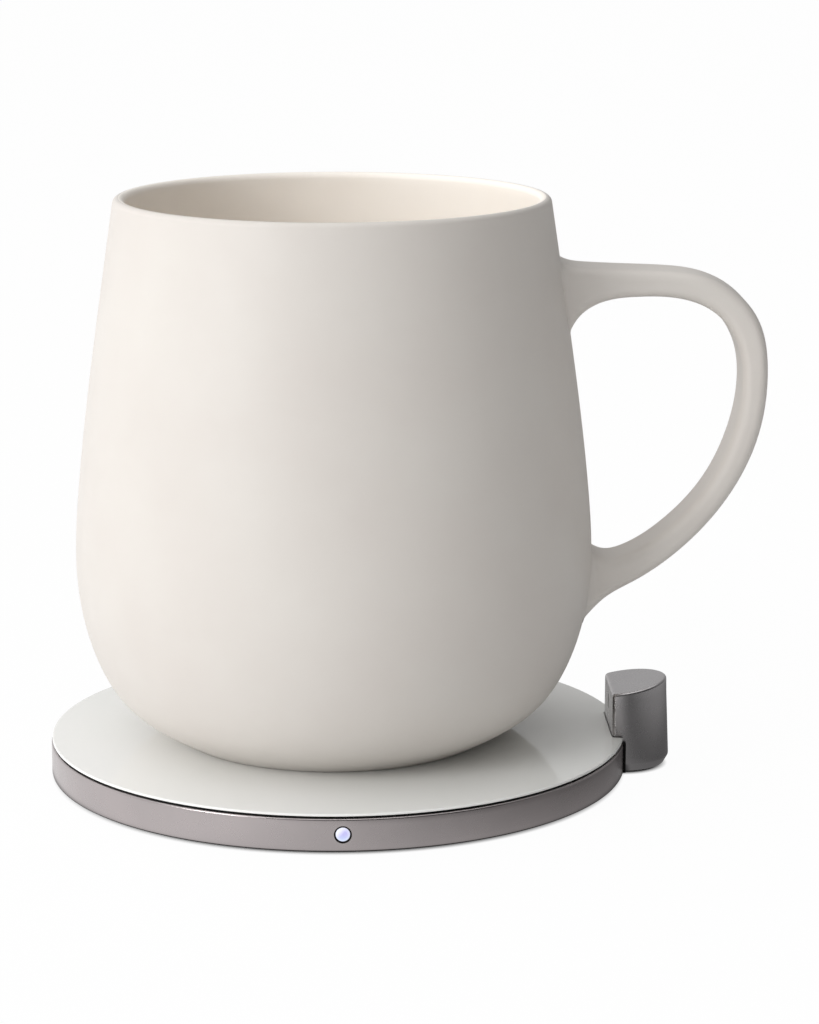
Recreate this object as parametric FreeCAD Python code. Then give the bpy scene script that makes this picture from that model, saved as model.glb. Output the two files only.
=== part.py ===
# Electric mug warmer: a thin round warming plate with a low post at its edge, and the mug made for it.
# Millimetres, +Z up. The origin is the centre of the plate's underside, on the table.
# +X points at the post, -Y at the indicator light, +Y at the power inlet.

import FreeCAD, Part
import os

Vector = FreeCAD.Vector

# Plate
plate_radius = 50.0
foot_proud = 0.5
rim_height = 5.52
rim_wall = 1.4
edge_bevel = 0.3
seat_wall = 1.0
ledge_width = 3.0
ledge_thickness = 0.7
shadow_gap = 0.38
gap_depth = 0.5
glass_thickness = 2.0
glass_lip_height = 0.4
glass_lip_width = 1.25
glass_inset = 0.15
glass_edge_round = 0.22
gasket_thickness = 0.2
gasket_side_gap = 0.2
cover_thickness = 1.2
cover_clearance = 0.15
foot_radius = 42.5
foot_thickness = 1.0
foot_edge_round = 0.3
foot_clearance = 0.1

# Gap between pieces that lie on each other without being fixed
stack_gap = 0.02

# Screws, all driven up from the underside
boss_radius = 1.9
boss_circle = 46.3
cover_screw_angles = (60.0, 180.0, 300.0)
screw_shank_radius = 0.8
screw_head_radius = 1.6
screw_head_height = 0.6
screw_length = 2.9
screw_fit = 0.02
screw_recess_length = 1.8
screw_recess_width = 0.4
screw_recess_depth = 0.2
counterbore_clearance = 0.15
shank_clearance = 0.1

# Heater under the glass
coil_inner_radius = 10.0
coil_turns = 14
wire_diameter = 1.0
turn_pitch = 1.65
turn_spacing = 0.24
bond_share = 0.3
ferrite_thickness = 0.8
ferrite_overlap = 1.5
sheet_thickness = 0.25
sheet_hole_radius = 2.2
carrier_floor = 0.8
carrier_lip = 0.8
carrier_gap = 0.4
carrier_hub_inner = 5.0
carrier_hub_outer = 7.4
carrier_hub_drop = 0.4
lead_slot_length = 6.0
lead_slot_width = 3.4
lead_slot_angle = 210.0
sensor_bead_radius = 1.1
sensor_stem_radius = 0.7
boot_radius = 4.6
boot_hole_radius = 2.4
boot_base_height = 0.3
boot_drop = 0.5

# Ring board and what stands on it
board_inner_radius = 36.7
board_outer_radius = 43.3
board_thickness = 0.8
standoff_height = 0.6
standoff_radius = 1.5
board_screw_angles = (38.0, 150.0, 246.0)
board_hole_radius = 0.6
board_shank_radius = 0.48
board_pilot_radius = 0.5
board_head_radius = 1.0
board_head_height = 0.5
board_slot_width = 0.3
board_slot_length = 1.6
chip_size = 5.0
chip_height = 0.8
chip_chamfer = 0.15
chip_angle = 66.0
switch_length = 6.0
switch_width = 5.0
switch_height = 0.9
switch_tab_width = 3.8
switch_tab_length = 0.9
switch_tab_height = 0.3
switch_angles = (118.0, 130.0)
capacitor_length = 7.3
capacitor_width = 4.3
capacitor_height = 1.3
capacitor_angles = (190.0, 202.5, 215.0)
inductor_size = 5.6
inductor_height = 1.4
inductor_corner = 1.2
inductor_angle = 20.0

# Indicator light in the rim
lens_radius = 1.15
lens_edge_round = 0.25
seal_width = 0.3
seal_proud = 0.06
seal_fit = 0.01
lens_height = 3.4
lens_proud = 0.08
light_pipe_radius = 0.8
light_pipe_gap = 0.4
led_width = 2.4
led_length = 1.6
led_height = 1.3
led_edge_gap = 0.2

# Post at the plate's edge
post_centre = 49.85
post_radius = 8.2
post_top_radius = 7.6
post_flat = 47.4
post_low_side = 14.2
post_slope = 0.16
post_wall = 1.4
post_foot_bevel = 0.8
post_foot_bevel_height = 1.4
post_corner_round = 0.8
post_edge_round = 0.5
post_full_height = 20.0
post_flat_gap = 0.12
post_side_gap = 0.32
post_base_thickness = 1.0
post_base_gap = 0.05
post_foot_radius = 3.4
post_foot_centre = 52.4
lug_x = 45.4
lug_y = 4.7
lug_end = 1.6
lug_width = 3.0
lug_height = 1.7
window_width = 2.2
window_height = 2.3
window_centre = 11.1
window_inset = 0.05
window_fit = 0.02
window_corner = 0.15
sensor_width = 3.8
sensor_height = 2.8
sensor_depth = 1.1
sensor_chamfer = 0.3
sensor_board_width = 8.0
sensor_board_low = 4.8
sensor_board_high = 1.4
link_width = 4.6
link_thickness = 0.3
link_clearance = 0.3

# Power inlet in the back of the rim
inlet_width = 8.94
inlet_height = 3.26
inlet_corner = 1.6
inlet_depth = 7.35
inlet_wall = 0.3
inlet_mouth = 49.55
inlet_centre = 2.95
inlet_fit = 0.02
landing_width = 11.2
landing_height = 4.3
tongue_width = 6.7
tongue_thickness = 0.7
tongue_length = 4.5
tongue_root_height = 2.2
tongue_root_depth = 0.9
inlet_back = 1.2

# Mug, which stands a little left of the plate's centre; heights are above its foot
mug_centre = -0.6
mug_gap = 0.05
mug_height = 93.3
lip_radius = 1.05
lip_centre_radius = 36.1
foot_ring_inner = 24.0
foot_ring_outer = 27.0
foot_ring_slope = 0.5
recess_depth = 1.3
mug_floor = 5.2
belly_points = [
    (foot_ring_outer, 0.0), (31.0, 2.2), (36.2, 5.5), (39.8, 10.5), (42.7, 17.4), (44.7, 28.1),
    (44.3, 38.5), (42.85, 53.0), (40.45, 70.2), (38.4, 83.9),
    (lip_centre_radius + lip_radius, mug_height - lip_radius),
]
inside_points = [
    (lip_centre_radius - lip_radius, mug_height - lip_radius), (35.9, 83.9), (37.9, 70.2),
    (40.2, 53.0), (41.5, 38.5), (41.7, 28.1), (39.7, 17.4), (36.0, 10.4), (30.0, 6.4), (22.0, mug_floor),
]
film_radius = 21.5
film_thickness = 0.25
film_cover_radius = 22.8
film_cover_thickness = 0.6

# Handle, in the plane of the mug's axis and the post; both outlines start and end inside the mug's wall
strap_width = 10.8
strap_edge_round = 1.9
strap_outer_points = [
    (37.0, 83.6), (39.9, 81.9), (43.0, 81.4), (55.6, 80.8), (62.5, 79.9), (68.0, 77.3), (72.6, 71.7),
    (74.1, 64.2), (72.4, 51.0), (66.6, 39.9), (58.5, 31.4), (51.6, 26.7), (46.9, 24.0), (42.8, 19.8),
]
strap_inner_points = [
    (39.2, 67.6), (41.9, 73.1), (45.6, 75.4), (51.5, 76.3), (59.1, 75.9), (65.2, 73.2), (69.0, 67.4),
    (69.8, 61.0), (68.0, 51.6), (63.6, 42.8), (57.1, 35.9), (51.2, 32.0), (46.6, 31.0), (43.2, 33.0),
]

# Heights and radii that follow from the sizes above
rim_bottom = foot_proud
rim_top = rim_bottom + rim_height
lip_bottom = rim_top + shadow_gap
glass_top_height = lip_bottom + glass_lip_height
glass_bottom = glass_top_height - glass_thickness
ledge_top = glass_bottom - gasket_thickness
ledge_bottom = ledge_top - ledge_thickness
wall_inner = plate_radius - rim_wall
seat_radius = plate_radius - seat_wall
ledge_inner = seat_radius - ledge_width
glass_radius = plate_radius - glass_inset
glass_body_radius = glass_radius - glass_lip_width
glass_neck_radius = glass_body_radius + gap_depth
glass_neck_height = lip_bottom - gap_depth
cover_top = rim_bottom + cover_thickness
cover_radius = wall_inner - cover_clearance
board_bottom = cover_top + standoff_height
board_top = board_bottom + board_thickness
board_centre = (board_inner_radius + board_outer_radius) / 2
sheet_top = glass_bottom - stack_gap
coil_top = sheet_top - sheet_thickness - stack_gap
coil_bottom = coil_top - wire_diameter
ferrite_bottom = coil_bottom - stack_gap - ferrite_thickness
carrier_top = ferrite_bottom - stack_gap
carrier_bottom = carrier_top - carrier_floor
coil_outer_radius = coil_inner_radius + coil_turns * turn_pitch
carrier_radius = coil_outer_radius + carrier_gap + carrier_lip
foot_plane = glass_top_height + mug_gap
post_inside = post_flat + post_wall
sensor_board_face = post_inside + sensor_depth + window_inset

# Reach of a cut past the piece that it cuts
beyond = 1.0


def face_from_points(points):
    """Flat face from a closed run of straight edges."""
    wire = Part.makePolygon(points + [points[0]])
    return Part.Face(wire)


def turned(outline):
    """Solid turned about the plate's axis from (radius, height) points."""
    face = face_from_points([Vector(radius, 0, height) for radius, height in outline])
    return face.revolve(Vector(0, 0, 0), Vector(0, 0, 1), 360)


def disc(radius, low, high, x=0.0, y=0.0):
    return Part.makeCylinder(radius, high - low, Vector(x, y, low))


def ring(inner, outer, low, high):
    return disc(outer, low, high).cut(disc(inner, low - beyond, high + beyond))


def block(size_x, size_y, low, high, x=0.0, y=0.0):
    """Upright box centred on (x, y) between two heights."""
    corner = Vector(x - size_x / 2, y - size_y / 2, low)
    return Part.makeBox(size_x, size_y, high - low, corner)


def around(shape, angle):
    """Copy of a shape turned about the plate's axis."""
    copy = shape.copy()
    copy.rotate(Vector(0, 0, 0), Vector(0, 0, 1), angle)
    return copy


def fused(shapes):
    return shapes[0].multiFuse(shapes[1:]).removeSplitter()


def edges_at_height(shape, height):
    """Edges that lie wholly at one height."""
    found = []
    for edge in shape.Edges:
        if abs(edge.BoundBox.ZMin - height) < 1e-6 and abs(edge.BoundBox.ZMax - height) < 1e-6:
            found.append(edge)
    return found


def post_radius_at(height):
    """Radius of the post's tapered side at a height."""
    return post_radius - (post_radius - post_top_radius) * height / post_low_side


def post_block(flat, low, drop):
    """Block with the flat that faces the mug and the sloping top, to which the round post is cut."""
    half_depth = 2 * post_radius
    reach = post_centre + half_depth
    flat_high = post_low_side - drop + post_slope * (flat - post_flat)
    reach_high = flat_high + post_slope * (reach - flat)
    side = face_from_points([
        Vector(flat, -half_depth, low),
        Vector(reach, -half_depth, low),
        Vector(reach, -half_depth, reach_high),
        Vector(flat, -half_depth, flat_high),
    ])
    return side.extrude(Vector(0, 2 * half_depth, 0))


def post_body(shrink, flat, low, drop):
    """Tapered round post, made smaller by shrink, with its flat and its sloping top."""
    body = turned([
        (0, low),
        (post_radius_at(low) - shrink, low),
        (post_radius_at(post_full_height) - shrink, post_full_height),
        (0, post_full_height),
    ])
    body.translate(Vector(post_centre, 0, 0))
    return body.common(post_block(flat, low, drop))


def post_notch():
    """Space that the post takes out of the plate, from just above the table to above the glass."""
    return post_body(-post_side_gap, post_flat - post_flat_gap, 0.01, 0.0)


def along_y(radius, start, end):
    """Round bar at the indicator's height, between two places along Y."""
    return Part.makeCylinder(radius, end - start, Vector(0, start, lens_height), Vector(0, 1, 0))


def lens_bore():
    """Stepped hole through the rim for the indicator's lens and its seal."""
    wide = along_y(lens_radius + seal_width, -plate_radius - beyond, -seat_radius)
    narrow = along_y(light_pipe_radius + seal_fit, -plate_radius, -board_outer_radius)
    return wide.fuse(narrow)


def inlet_bar(width, height, start, length, corner):
    """Round-cornered bar along +Y, centred on the inlet's axis."""
    low = inlet_centre - height / 2
    bar = Part.makeBox(width, length, height, Vector(-width / 2, start, low))
    along = [edge for edge in bar.Edges if edge.BoundBox.YLength > length / 2]
    return bar.makeFillet(corner, along)


def inlet_pocket():
    """Space that the inlet's shell takes out of the rim, the cover and the board."""
    start = inlet_mouth - inlet_depth - stack_gap
    width = inlet_width + 2 * inlet_fit
    height = inlet_height + 2 * inlet_fit
    return inlet_bar(width, height, start, inlet_depth + rim_wall, inlet_corner)


def screw_clearance(x, y):
    """Counterbored hole for a small screw driven from below."""
    bore_radius = screw_head_radius + counterbore_clearance
    head_top = rim_bottom + screw_head_height + stack_gap
    shank = disc(screw_shank_radius + shank_clearance, rim_bottom - beyond, cover_top + beyond, x, y)
    return shank.fuse(disc(bore_radius, rim_bottom - beyond, head_top, x, y))


def bottom_screw(x, y):
    """Flat head with a cross recess, and its shank, driven up from the underside."""
    head_top = rim_bottom + screw_head_height
    head = disc(screw_head_radius, rim_bottom, head_top, x, y)
    shank = disc(screw_shank_radius - screw_fit, rim_bottom, rim_bottom + screw_length, x, y)
    screw = fused([head, shank])
    recess_top = rim_bottom + screw_recess_depth
    along_x = block(screw_recess_length, screw_recess_width, rim_bottom - beyond, recess_top, x, y)
    across = block(screw_recess_width, screw_recess_length, rim_bottom - beyond, recess_top, x, y)
    return screw.cut(along_x).cut(across)


def make_rim_housing():
    outline = [
        (wall_inner, rim_bottom),
        (plate_radius - edge_bevel, rim_bottom),
        (plate_radius, rim_bottom + edge_bevel),
        (plate_radius, rim_top - edge_bevel),
        (plate_radius - edge_bevel, rim_top),
        (seat_radius, rim_top),
        (seat_radius, ledge_top),
        (ledge_inner, ledge_top),
        (ledge_inner, ledge_bottom),
        (wall_inner, ledge_bottom),
    ]
    boss = disc(boss_radius, cover_top + stack_gap, ledge_bottom, boss_circle)
    pilot = disc(screw_shank_radius, rim_bottom, rim_bottom + screw_length + stack_gap, boss_circle)
    rim = fused([turned(outline)] + [around(boss, angle) for angle in cover_screw_angles])
    for angle in cover_screw_angles:
        rim = rim.cut(around(pilot, angle))
    landing = inlet_bar(landing_width, landing_height, inlet_mouth, rim_wall, inlet_corner)
    return rim.cut(lens_bore()).cut(landing).cut(inlet_pocket()).cut(post_notch())


def make_glass_top():
    outline = [
        (0, glass_bottom),
        (glass_body_radius, glass_bottom),
        (glass_body_radius, glass_neck_height),
        (glass_neck_radius, lip_bottom),
        (glass_radius, lip_bottom),
        (glass_radius, glass_top_height),
        (0, glass_top_height),
    ]
    plate = turned(outline)
    top_edges = edges_at_height(plate, glass_top_height)
    outer_edge = [edge for edge in top_edges if edge.BoundBox.XMax > glass_body_radius]
    return plate.makeFillet(glass_edge_round, outer_edge).cut(post_notch())


def make_glass_gasket():
    outline = [
        (ledge_inner + gasket_side_gap, ledge_top),
        (seat_radius - stack_gap, ledge_top),
        (seat_radius - stack_gap, rim_top),
        (plate_radius - gap_depth, rim_top),
        (plate_radius - gap_depth, lip_bottom),
        (glass_neck_radius, lip_bottom),
        (glass_body_radius, glass_neck_height),
        (glass_body_radius, glass_bottom),
        (ledge_inner + gasket_side_gap, glass_bottom),
    ]
    return turned(outline).cut(post_notch())


def make_base_cover():
    outline = [
        (0, foot_thickness),
        (foot_radius + foot_clearance, foot_thickness),
        (foot_radius + foot_clearance, rim_bottom),
        (cover_radius, rim_bottom),
        (cover_radius, cover_top),
        (0, cover_top),
    ]
    standoff = disc(standoff_radius, cover_top, board_bottom, board_centre)
    pilot_low = foot_thickness + board_slot_width / 2
    pilot = disc(board_pilot_radius, pilot_low, board_bottom + beyond, board_centre)
    cover = fused([turned(outline)] + [around(standoff, angle) for angle in board_screw_angles])
    for angle in cover_screw_angles:
        cover = cover.cut(around(screw_clearance(boss_circle, 0.0), angle))
    for side in (-1, 1):
        cover = cover.cut(screw_clearance(lug_x, side * lug_y))
    for angle in board_screw_angles:
        cover = cover.cut(around(pilot, angle))
    return cover.cut(inlet_pocket()).cut(post_notch())


def make_cover_screw(index):
    return around(bottom_screw(boss_circle, 0.0), cover_screw_angles[index])


def make_foot_pad():
    pad = disc(foot_radius, 0, foot_thickness)
    return pad.makeFillet(foot_edge_round, edges_at_height(pad, 0))


def make_coil_carrier():
    outline = [
        (carrier_hub_inner, carrier_bottom),
        (carrier_radius, carrier_bottom),
        (carrier_radius, coil_top),
        (carrier_radius - carrier_lip, coil_top),
        (carrier_radius - carrier_lip, carrier_top),
        (carrier_hub_outer, carrier_top),
        (carrier_hub_outer, coil_top - carrier_hub_drop),
        (carrier_hub_inner, coil_top - carrier_hub_drop),
    ]
    slot = block(lead_slot_length, lead_slot_width, coil_bottom, coil_top + beyond, carrier_radius)
    return turned(outline).cut(around(slot, lead_slot_angle))


def make_ferrite_disc():
    inner = coil_inner_radius - ferrite_overlap
    return ring(inner, coil_outer_radius, ferrite_bottom, ferrite_bottom + ferrite_thickness)


def make_induction_coil():
    """Flat winding: each turn is a rounded ring, joined to the next by a thin bond."""
    middle = (coil_bottom + coil_top) / 2
    rise = wire_diameter / 2
    half = (turn_pitch - turn_spacing) / 2
    bond = bond_share * wire_diameter / 2
    turns = [ring(coil_inner_radius, coil_outer_radius, middle - bond, middle + bond)]
    for index in range(coil_turns):
        centre = coil_inner_radius + turn_pitch * (index + 0.5)
        turns.append(turned([
            (centre - half, middle - rise / 2),
            (centre - half / 2, middle - rise),
            (centre + half / 2, middle - rise),
            (centre + half, middle - rise / 2),
            (centre + half, middle + rise / 2),
            (centre + half / 2, middle + rise),
            (centre - half / 2, middle + rise),
            (centre - half, middle + rise / 2),
        ]))
    return fused(turns)


def make_insulation_sheet():
    return ring(sheet_hole_radius, carrier_radius, sheet_top - sheet_thickness, sheet_top)


def make_sensor_boot():
    base_top = cover_top + boot_base_height
    base = ring(boot_hole_radius, boot_radius, cover_top + stack_gap, base_top)
    sleeve = ring(sensor_bead_radius + stack_gap, boot_radius, base_top, coil_top - boot_drop)
    return fused([base, sleeve])


def make_temperature_sensor():
    """Glass bead that touches the plate from below, on a thin stem."""
    bead_centre = glass_bottom - stack_gap - sensor_bead_radius
    bead = Part.makeSphere(sensor_bead_radius, Vector(0, 0, bead_centre))
    return fused([bead, disc(sensor_stem_radius, cover_top + boot_base_height, bead_centre)])


def make_main_board():
    board = ring(board_inner_radius, board_outer_radius, board_bottom, board_top)
    hole = disc(board_hole_radius, board_bottom - beyond, board_top + beyond, board_centre)
    for angle in board_screw_angles:
        board = board.cut(around(hole, angle))
    return board.cut(inlet_pocket())


def make_board_screw(index):
    head_top = board_top + board_head_height
    head = disc(board_head_radius, board_top, head_top, board_centre)
    shank = disc(board_shank_radius, foot_thickness + board_slot_width, board_top, board_centre)
    slot_low = board_top + board_head_height / 2
    slot = block(board_slot_width, board_slot_length, slot_low, head_top + beyond, board_centre)
    return around(fused([head, shank]).cut(slot), board_screw_angles[index])


def make_controller_chip():
    chip_top = board_top + chip_height
    body = block(chip_size, chip_size, board_top, chip_top, board_centre)
    return around(body.makeChamfer(chip_chamfer, edges_at_height(body, chip_top)), chip_angle)


def make_power_switch(index):
    body = block(switch_width, switch_length, board_top, board_top + switch_height, board_centre)
    tab_y = -(switch_length + switch_tab_length) / 2
    tab_top = board_top + switch_tab_height
    tab = block(switch_tab_width, 2 * switch_tab_length, board_top, tab_top, board_centre, tab_y)
    return around(fused([body, tab]), switch_angles[index])


def make_resonant_capacitor(index):
    top = board_top + capacitor_height
    body = block(capacitor_width, capacitor_length, board_top, top, board_centre)
    return around(body, capacitor_angles[index])


def make_filter_inductor():
    body = block(inductor_size, inductor_size, board_top, board_top + inductor_height, board_centre)
    upright = [edge for edge in body.Edges if edge.BoundBox.ZLength > inductor_height / 2]
    return around(body.makeFillet(inductor_corner, upright), inductor_angle)


def make_indicator_led():
    centre_y = -board_outer_radius + led_length / 2 + led_edge_gap
    return block(led_width, led_length, board_top, board_top + led_height, 0.0, centre_y)


def make_indicator_lens():
    """Round lens that stands a little proud of the rim, with the pipe that brings it the light."""
    face = -plate_radius - lens_proud
    head = along_y(lens_radius, face, -seat_radius - stack_gap)
    outer_edge = [edge for edge in head.Edges if edge.BoundBox.YMax < face + 1e-6]
    pipe = along_y(light_pipe_radius, -plate_radius, -board_outer_radius - light_pipe_gap)
    return fused([head.makeFillet(lens_edge_round, outer_edge), pipe])


def make_lens_seal():
    outer = -plate_radius + seal_proud
    inner = -seat_radius - stack_gap
    sleeve = along_y(lens_radius + seal_width - seal_fit, outer, inner)
    return sleeve.cut(along_y(lens_radius + seal_fit, outer - beyond, inner + beyond))


def post_outside():
    """Post with a bevelled foot, rounded corners beside its flat and a softened top edge."""
    bevel_top = rim_bottom + post_foot_bevel_height
    body = turned([
        (0, rim_bottom),
        (post_radius_at(bevel_top) - post_foot_bevel, rim_bottom),
        (post_radius_at(bevel_top), bevel_top),
        (post_radius_at(post_full_height), post_full_height),
        (0, post_full_height),
    ])
    body.translate(Vector(post_centre, 0, 0))
    post = body.common(post_block(post_flat, rim_bottom, 0.0))
    corners = []
    for edge in post.Edges:
        if edge.BoundBox.XMax < post_flat + 1e-6 and edge.BoundBox.ZLength > post_corner_round:
            corners.append(edge)
    post = post.makeFillet(post_corner_round, corners)
    top_edges = [edge for edge in post.Edges if edge.BoundBox.ZMin > post_low_side - beyond]
    return post.makeFillet(post_edge_round, top_edges)


def post_lug(side):
    """Arm under the plate's cover that one of the post's screws pulls down."""
    start = lug_x - lug_end
    end = post_inside
    low = cover_top + stack_gap
    arm = block(end - start, lug_width, low, cover_top + lug_height, (start + end) / 2, side * lug_y)
    pilot = disc(screw_shank_radius, cover_top - beyond, low + lug_height + beyond, lug_x, side * lug_y)
    return arm.cut(pilot)


def make_post_housing():
    """Hollow post with its flat towards the mug and the lugs that fix it."""
    inside = post_body(post_wall, post_inside, rim_bottom - beyond, post_wall)
    shell = fused([post_outside().cut(inside)] + [post_lug(side) for side in (-1, 1)])
    wall_centre = post_flat + post_wall / 2
    slot_width = link_width + 2 * link_clearance
    link_slot = block(2 * post_wall, slot_width, cover_top + link_clearance, ledge_bottom, wall_centre)
    hole_width = window_width + 2 * window_fit
    hole_low = window_centre - window_height / 2 - window_fit
    hole_high = window_centre + window_height / 2 + window_fit
    window_hole = block(2 * post_wall, hole_width, hole_low, hole_high, wall_centre)
    return shell.cut(link_slot).cut(window_hole)


def make_post_base():
    shrink = post_wall + post_base_gap
    low = rim_bottom + post_side_gap
    plug = post_body(shrink, post_inside + post_base_gap, low, 0.0)
    slab = block(4 * post_radius, 4 * post_radius, low, low + post_base_thickness, post_centre)
    return plug.common(slab)


def make_post_foot():
    return disc(post_foot_radius, 0, rim_bottom + post_side_gap, post_foot_centre)


def make_post_screw(index):
    return bottom_screw(lug_x, (-lug_y, lug_y)[index])


def make_inlet_shell():
    start = inlet_mouth - inlet_depth
    outside = inlet_bar(inlet_width, inlet_height, start, inlet_depth, inlet_corner)
    inner_width = inlet_width - 2 * inlet_wall
    inner_height = inlet_height - 2 * inlet_wall
    inside = inlet_bar(inner_width, inner_height, start + inlet_back, inlet_depth, inlet_corner - inlet_wall)
    return outside.cut(inside)


def make_inlet_tongue():
    start = inlet_mouth - inlet_depth + inlet_back
    length = tongue_root_depth + tongue_length
    corner = Vector(-tongue_width / 2, start, inlet_centre - tongue_thickness / 2)
    tongue = Part.makeBox(tongue_width, length, tongue_thickness, corner)
    root_width = inlet_width - 2 * inlet_wall - inlet_fit
    root_corner = tongue_root_height / 2 - inlet_fit
    root = inlet_bar(root_width, tongue_root_height, start, tongue_root_depth, root_corner)
    return fused([tongue, root])


def make_sensor_board():
    low = window_centre - sensor_board_low
    high = window_centre + sensor_board_high
    centre_x = sensor_board_face + board_thickness / 2
    return block(board_thickness, sensor_board_width, low, high, centre_x)


def make_mug_sensor():
    low = window_centre - sensor_height / 2
    centre_x = post_inside + window_inset + sensor_depth / 2
    body = block(sensor_depth, sensor_width, low, low + sensor_height, centre_x)
    along = [edge for edge in body.Edges if edge.BoundBox.XLength > sensor_depth / 2]
    return body.makeChamfer(sensor_chamfer, along)


def make_sensor_window():
    low = window_centre - window_height / 2
    depth = post_wall - window_inset
    pane = block(depth, window_width, low, low + window_height, post_flat + window_inset + depth / 2)
    along = [edge for edge in pane.Edges if edge.BoundBox.XLength > depth / 2]
    return pane.makeFillet(window_corner, along)


def make_board_link():
    """Flat flexible strip from the ring board, through the post's slot, up to the sensor's board."""
    inner = board_outer_radius - link_width / 2
    strip_top = board_top + link_thickness
    length = sensor_board_face - inner
    strip = block(length, link_width, board_top, strip_top, inner + length / 2)
    rise_x = sensor_board_face - link_thickness / 2
    rise = block(link_thickness, link_width, board_top, window_centre - sensor_height / 2 - beyond, rise_x)
    return fused([strip, rise])


def curve_through(points):
    """Smooth edge through (radius, height) points of the mug."""
    spline = Part.BSplineCurve()
    spline.interpolate([Vector(radius, 0, height) for radius, height in points])
    return spline.toShape()


def line_between(start, end):
    return Part.makeLine(Vector(start[0], 0, start[1]), Vector(end[0], 0, end[1]))


def mug_walls():
    """Turned body: foot ring, belly that is widest low down, and a wall that leans in to the lip."""
    lip_height = mug_height - lip_radius
    lip = Part.Arc(
        Vector(lip_centre_radius + lip_radius, 0, lip_height),
        Vector(lip_centre_radius, 0, mug_height),
        Vector(lip_centre_radius - lip_radius, 0, lip_height),
    ).toShape()
    recess_edge = foot_ring_inner - foot_ring_slope
    edges = [
        curve_through(belly_points),
        lip,
        curve_through(inside_points),
        line_between(inside_points[-1], (0, mug_floor)),
        line_between((0, mug_floor), (0, recess_depth)),
        line_between((0, recess_depth), (recess_edge, recess_depth)),
        line_between((recess_edge, recess_depth), (foot_ring_inner, 0)),
        line_between((foot_ring_inner, 0), (foot_ring_outer, 0)),
    ]
    face = Part.Face(Part.Wire(Part.__sortEdges__(edges)))
    walls = face.revolve(Vector(0, 0, 0), Vector(0, 0, 1), 360)
    return around(walls, 180.0)


def mug_strap():
    """Handle: a flat outline drawn out to the strap's width, with its long edges rounded."""
    outline = Part.Wire([
        curve_through(strap_outer_points),
        line_between(strap_outer_points[-1], strap_inner_points[-1]),
        curve_through(strap_inner_points[::-1]),
        line_between(strap_inner_points[0], strap_outer_points[0]),
    ])
    strap = Part.Face(outline).extrude(Vector(0, strap_width, 0))
    strap.translate(Vector(0, -strap_width / 2, 0))
    long_edges = []
    for edge in strap.Edges:
        if edge.BoundBox.YLength < 1e-6 and edge.BoundBox.XLength > strap_width:
            long_edges.append(edge)
    return strap.makeFillet(strap_edge_round, long_edges)


def make_mug():
    mug = fused([mug_walls(), mug_strap()])
    mug.translate(Vector(mug_centre, 0, foot_plane))
    return mug


def make_heating_film():
    top = foot_plane + recess_depth
    return disc(film_radius, top - film_thickness, top, mug_centre)


def make_film_cover():
    top = foot_plane + recess_depth - film_thickness
    return disc(film_cover_radius, top - film_cover_thickness, top, mug_centre)


single_nodes = {
    "rim_housing": make_rim_housing,
    "glass_top": make_glass_top,
    "glass_gasket": make_glass_gasket,
    "base_cover": make_base_cover,
    "foot_pad": make_foot_pad,
    "coil_carrier": make_coil_carrier,
    "ferrite_disc": make_ferrite_disc,
    "induction_coil": make_induction_coil,
    "insulation_sheet": make_insulation_sheet,
    "temperature_sensor": make_temperature_sensor,
    "sensor_boot": make_sensor_boot,
    "main_board": make_main_board,
    "controller_chip": make_controller_chip,
    "filter_inductor": make_filter_inductor,
    "indicator_led": make_indicator_led,
    "indicator_lens": make_indicator_lens,
    "lens_seal": make_lens_seal,
    "post_housing": make_post_housing,
    "post_base": make_post_base,
    "post_foot": make_post_foot,
    "inlet_shell": make_inlet_shell,
    "inlet_tongue": make_inlet_tongue,
    "sensor_board": make_sensor_board,
    "mug_sensor": make_mug_sensor,
    "sensor_window": make_sensor_window,
    "board_link": make_board_link,
    "mug": make_mug,
    "heating_film": make_heating_film,
    "film_cover": make_film_cover,
}
repeated_nodes = {
    "cover_screw": (make_cover_screw, len(cover_screw_angles)),
    "board_screw": (make_board_screw, len(board_screw_angles)),
    "power_switch": (make_power_switch, len(switch_angles)),
    "resonant_capacitor": (make_resonant_capacitor, len(capacitor_angles)),
    "post_screw": (make_post_screw, 2),
}


def export(name, shape):
    shape.exportStep("parts/" + name + ".step")
    print(name, len(shape.Solids), shape.isValid(), round(shape.Volume, 1))


os.makedirs("parts", exist_ok=True)
for name, make in single_nodes.items():
    export(name, make())
for name, (make, count) in repeated_nodes.items():
    for index in range(count):
        export(name + "_" + str(index + 1), make(index))
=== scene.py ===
import math

import bmesh
import bpy
import numpy as np
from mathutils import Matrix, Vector


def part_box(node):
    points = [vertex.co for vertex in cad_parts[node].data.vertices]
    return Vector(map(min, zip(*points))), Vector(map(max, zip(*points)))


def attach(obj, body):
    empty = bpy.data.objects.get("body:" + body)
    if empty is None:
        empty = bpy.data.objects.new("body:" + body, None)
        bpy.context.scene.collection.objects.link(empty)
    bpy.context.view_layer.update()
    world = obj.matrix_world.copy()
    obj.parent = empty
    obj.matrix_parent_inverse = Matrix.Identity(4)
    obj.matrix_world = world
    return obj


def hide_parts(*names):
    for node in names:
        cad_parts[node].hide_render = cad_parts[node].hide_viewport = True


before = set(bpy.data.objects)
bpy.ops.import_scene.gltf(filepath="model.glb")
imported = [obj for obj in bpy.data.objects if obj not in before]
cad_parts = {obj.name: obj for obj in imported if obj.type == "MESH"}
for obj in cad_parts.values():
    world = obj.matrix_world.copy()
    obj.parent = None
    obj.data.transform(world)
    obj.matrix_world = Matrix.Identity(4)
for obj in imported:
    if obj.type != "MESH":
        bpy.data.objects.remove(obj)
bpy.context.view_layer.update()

mm = 0.001
weldReach = 0.002 * mm


# Sizes read from the frame
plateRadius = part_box("rim_housing")[1].y
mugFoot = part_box("mug")[0].z


# Editing helpers

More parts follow.
